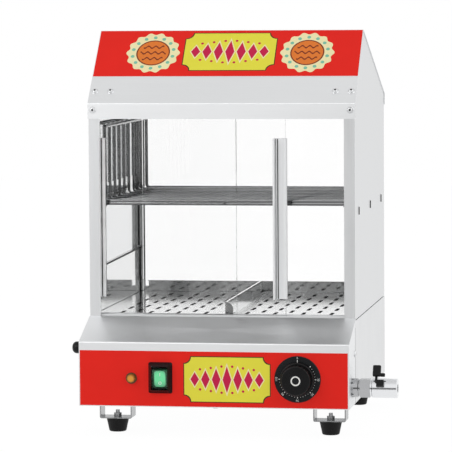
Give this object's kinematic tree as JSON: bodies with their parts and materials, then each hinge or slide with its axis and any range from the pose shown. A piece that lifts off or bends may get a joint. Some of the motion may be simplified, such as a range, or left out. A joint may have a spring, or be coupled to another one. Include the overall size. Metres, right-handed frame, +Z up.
{
  "type": "hot dog steamer",
  "caption": "Counter-top hot dog steamer: steel base with water tank, heater and drain valve, glazed cabinet with sliding doors, bun basket and perforated trays.",
  "frame": {"origin": "centre of the bounding box at table level, under the feet", "axes": "+Z up, the doors and controls face -Y, +X to the right seen from the front"},
  "size_m": [0.5034, 0.5, 0.5979],
  "materials": {
    "brushed_stainless": "brushed stainless sheet, grain along the fold",
    "bright_stainless": "fine 2B to semi-mirror stainless sheet",
    "mirror_stainless": "bright-polished stainless liner",
    "wire_steel": "electropolished wire",
    "red_film": "printed polycarbonate film",
    "black_plastic": "moulded plastic, fine texture",
    "black_gloss": "printed glossy plastic",
    "black_rubber": "moulded rubber",
    "clear_glass": "toughened glass, ground edges",
    "clear_silicone": "clear moulded cover",
    "aluminium": "satin anodised extrusion",
    "green_lens": "translucent lit rocker",
    "amber_lens": "translucent faceted lens",
    "valve_chrome": "satin chrome-plated brass",
    "brass": "turned brass",
    "heater_steel": "heating tube sheath",
    "ceramic": "steatite terminal block"
  },
  "bodies": {
    "cabinet": {"front_panel": "brushed_stainless", "control_film": "red_film", "base_shell": "bright_stainless", "cross_rail": "bright_stainless", "bottom_plate": "bright_stainless", "panel_screws": "bright_stainless", "foot_brackets": "bright_stainless", "rubber_feet": "black_rubber", "foot_bolts": "bright_stainless", "water_tank": "bright_stainless", "heating_element": "heater_steel", "tank_fittings": "brass", "baffle_plate": "bright_stainless", "rocker_housing": "black_plastic", "rocker_cover": "clear_silicone", "pilot_lens": "amber_lens", "pilot_body": "black_plastic", "dial_ring": "black_gloss", "thermostat_body": "bright_stainless", "thermostat_bulb": "brass", "low_water_sensor": "black_plastic", "terminal_block": "ceramic", "cord_gland": "black_plastic", "drain_pipe": "bright_stainless", "drain_locknuts": "valve_chrome", "valve_body": "valve_chrome", "side_panel_right": "bright_stainless", "side_panel_left": "bright_stainless", "hood_front": "brushed_stainless", "hood_rear": "bright_stainless", "hood_film": "red_film", "corner_gussets": "bright_stainless", "hood_screws": "bright_stainless", "rear_frame": "bright_stainless", "rear_glass": "clear_glass", "glass_retainers": "bright_stainless", "side_liner_right": "mirror_stainless", "side_liner_left": "mirror_stainless", "basket_rail_right": "bright_stainless", "basket_rail_left": "bright_stainless", "door_track_bottom": "aluminium", "door_track_top": "aluminium"},
    "left_door": {"door_glass_left": "clear_glass", "door_pull_left": "aluminium"},
    "right_door": {"door_glass_right": "clear_glass", "door_handle_right": "aluminium"},
    "thermostat_dial": {"dial_knob": "black_plastic", "dial_cap": "black_gloss", "thermostat_shaft": "brass"},
    "switch_rocker": {"rocker_button": "green_lens"},
    "drain_lever": {"valve_lever": "black_plastic", "valve_stem": "brass", "valve_ball": "valve_chrome"},
    "steam_damper": {"damper_plate": "bright_stainless", "damper_rod": "bright_stainless", "damper_knob": "black_plastic"},
    "basket": {"bun_basket": "wire_steel"},
    "left_tray": {"tray_left": "mirror_stainless"},
    "right_tray": {"tray_right": "mirror_stainless", "tray_divider": "mirror_stainless"}
  },
  "joints": [
    {"name": "left_door_slide", "type": "slide", "parent": "cabinet", "child": "left_door", "axis": [1, 0, 0], "range_m": [0, 0.177]},
    {"name": "right_door_slide", "type": "slide", "parent": "cabinet", "child": "right_door", "axis": [1, 0, 0], "range_m": [-0.077, 0.0998]},
    {"name": "thermostat_turn", "type": "hinge", "parent": "cabinet", "child": "thermostat_dial", "pos_m": [0.10925, -0.238, 0.093], "axis": [0, 1, 0], "range_deg": [0, 270]},
    {"name": "rocker_tilt", "type": "hinge", "parent": "cabinet", "child": "switch_rocker", "pos_m": [-0.09345, -0.223, 0.0925], "axis": [1, 0, 0], "range_deg": [-14, 0]},
    {"name": "drain_lever_turn", "type": "hinge", "parent": "cabinet", "child": "drain_lever", "pos_m": [0.22755, -0.193, 0.0775], "axis": [0, 0.866, -0.5], "range_deg": [0, 90]},
    {"name": "damper_slide", "type": "slide", "parent": "cabinet", "child": "steam_damper", "axis": [-1, 0, 0], "range_m": [0, 0.02]},
    {"name": "basket_lift", "type": "slide", "parent": "cabinet", "child": "basket", "axis": [0, 0, 1], "range_m": [0, 0.012]},
    {"name": "left_tray_lift", "type": "slide", "parent": "cabinet", "child": "left_tray", "axis": [0, 0, 1], "range_m": [0, 0.06]},
    {"name": "right_tray_lift", "type": "slide", "parent": "cabinet", "child": "right_tray", "axis": [0, 0, 1], "range_m": [0, 0.06]}
  ]
}
